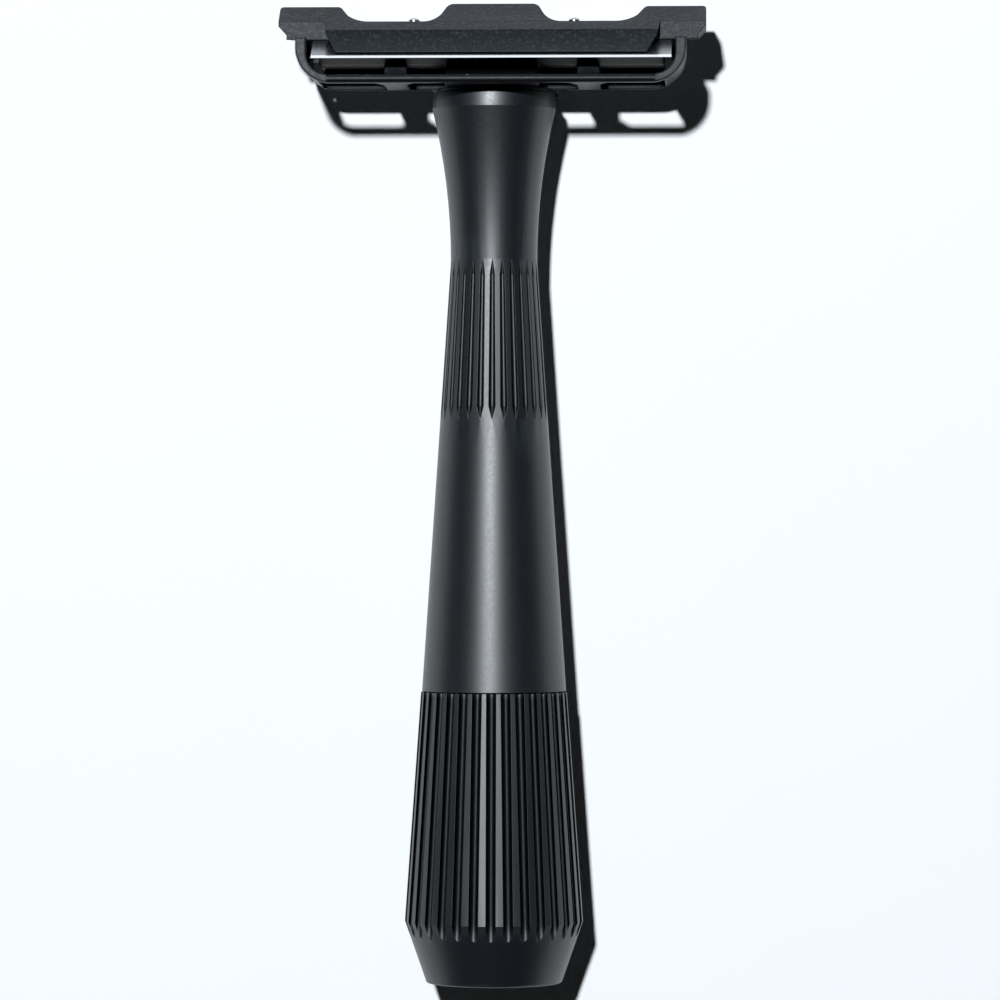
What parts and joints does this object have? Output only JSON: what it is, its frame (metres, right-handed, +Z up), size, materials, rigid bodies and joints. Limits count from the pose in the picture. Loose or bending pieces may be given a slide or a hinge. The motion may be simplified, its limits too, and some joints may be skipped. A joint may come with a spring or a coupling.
{
  "type": "safety razor",
  "caption": "Single-edge safety razor with a hinged cap over half a double-edge blade, opened by turning the fluted knob at the end of the handle.",
  "frame": {"origin": "on the resting surface, under the middle of the razor's length and width, with the razor lying on its back", "axes": "+Y along the handle towards the head, +X across the head, +Z up out of the side that carries the cutting edge"},
  "size_m": [0.0452, 0.1044, 0.0194],
  "materials": {
    "grip_coat": "dark blue-black satin coating on turned metal",
    "head_coat": "black fine textured coating",
    "cap_coat": "black fine textured coating, smoother on the top facets",
    "nut_brass": "machined brass",
    "bearing_plastic": "low friction white plastic",
    "spring_steel": "spring steel",
    "seal_rubber": "soft black rubber",
    "bright_steel": "polished stainless steel",
    "machined_steel": "machined stainless steel",
    "magnet_plate": "nickel plated magnet",
    "blade_steel": "ground stainless blade with a bright honed edge"
  },
  "bodies": {
    "handle_group": {"handle": "grip_coat", "knob_retaining_ring": "spring_steel", "stem_o_ring": "seal_rubber", "friction_spring": "spring_steel", "drawbar_guide": "bearing_plastic", "neck_ring": "bright_steel", "base_plate": "head_coat", "blade_post_left": "bright_steel", "blade_post_right": "bright_steel", "magnet_left": "magnet_plate", "magnet_right": "magnet_plate", "neck_screws": "machined_steel", "hinge_pin": "machined_steel", "blade": "blade_steel"},
    "knob_group": {"knob": "grip_coat", "knob_end_plug": "grip_coat", "knob_nut": "nut_brass", "thrust_washer": "bearing_plastic"},
    "drawbar_group": {"drawbar": "machined_steel"},
    "cap_group": {"cap": "cap_coat", "link_pin": "machined_steel"}
  },
  "joints": [
    {"name": "knob_turn", "type": "hinge", "parent": "handle_group", "child": "knob_group", "pos_m": [0, -0.03717, 0.00952], "axis": [0, 1, 0], "range_deg": [0, 1080]},
    {"name": "drawbar_lift", "type": "slide", "parent": "handle_group", "child": "drawbar_group", "axis": [0, 1, 0], "range_m": [0, 0.0045]},
    {"name": "cap_open", "type": "hinge", "parent": "handle_group", "child": "cap_group", "pos_m": [0, 0.04482, 0.00192], "axis": [-1, 0, 0], "range_deg": [0, 39.3]}
  ],
  "couplings": [
    {"joint": "drawbar_lift", "follows": "knob_turn", "m_per_rad": 0.00023873},
    {"joint": "cap_open", "follows": "knob_turn", "ratio": 0.036388}
  ]
}
